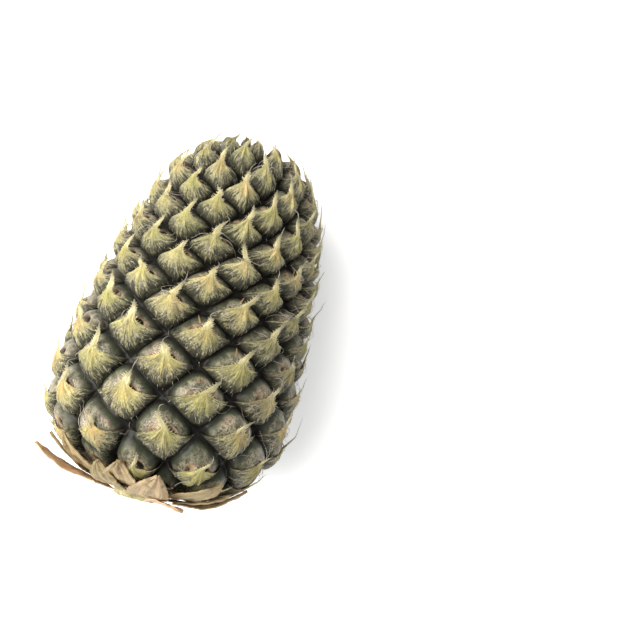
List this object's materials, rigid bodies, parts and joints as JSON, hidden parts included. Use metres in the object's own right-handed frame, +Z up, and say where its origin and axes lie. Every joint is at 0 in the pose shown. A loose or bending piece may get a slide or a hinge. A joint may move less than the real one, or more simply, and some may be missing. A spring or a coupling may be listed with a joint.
{
  "type": "pineapple",
  "caption": "Whole pineapple without its crown, lying on its side, its rind covered by spiralling eyes with spined bracts, with a cut stem and a collar of dry basal leaves.",
  "frame": {"origin": "the middle of the part's bounding box seen from above, at the height of the surface that it lies on", "axes": "+Y along the fruit from the cut stem towards the crown scar, +Z up, and +X to the right for someone who looks along +Y"},
  "size_m": [0.1052, 0.1562, 0.0989],
  "materials": {
    "rind": "tough grey-green rind with olive and straw-coloured bracts, satin to matte",
    "stem": "cream fibrous cut, matte",
    "dry_leaf": "dry papery leaf, tan to brown, matte"
  },
  "bodies": {
    "root": {"fruit": "rind", "cut_stem": "stem", "basal_leaf_01": "dry_leaf", "basal_leaf_02": "dry_leaf", "basal_leaf_03": "dry_leaf", "basal_leaf_04": "dry_leaf", "basal_leaf_05": "dry_leaf", "basal_leaf_06": "dry_leaf", "basal_leaf_07": "dry_leaf", "basal_leaf_08": "dry_leaf", "basal_leaf_09": "dry_leaf", "basal_leaf_10": "dry_leaf", "basal_leaf_11": "dry_leaf", "basal_leaf_12": "dry_leaf", "basal_leaf_13": "dry_leaf", "basal_leaf_14": "dry_leaf", "basal_leaf_15": "dry_leaf", "basal_leaf_16": "dry_leaf", "basal_leaf_17": "dry_leaf", "basal_leaf_18": "dry_leaf", "basal_leaf_19": "dry_leaf", "basal_leaf_20": "dry_leaf", "basal_leaf_21": "dry_leaf"}
  },
  "joints": []
}
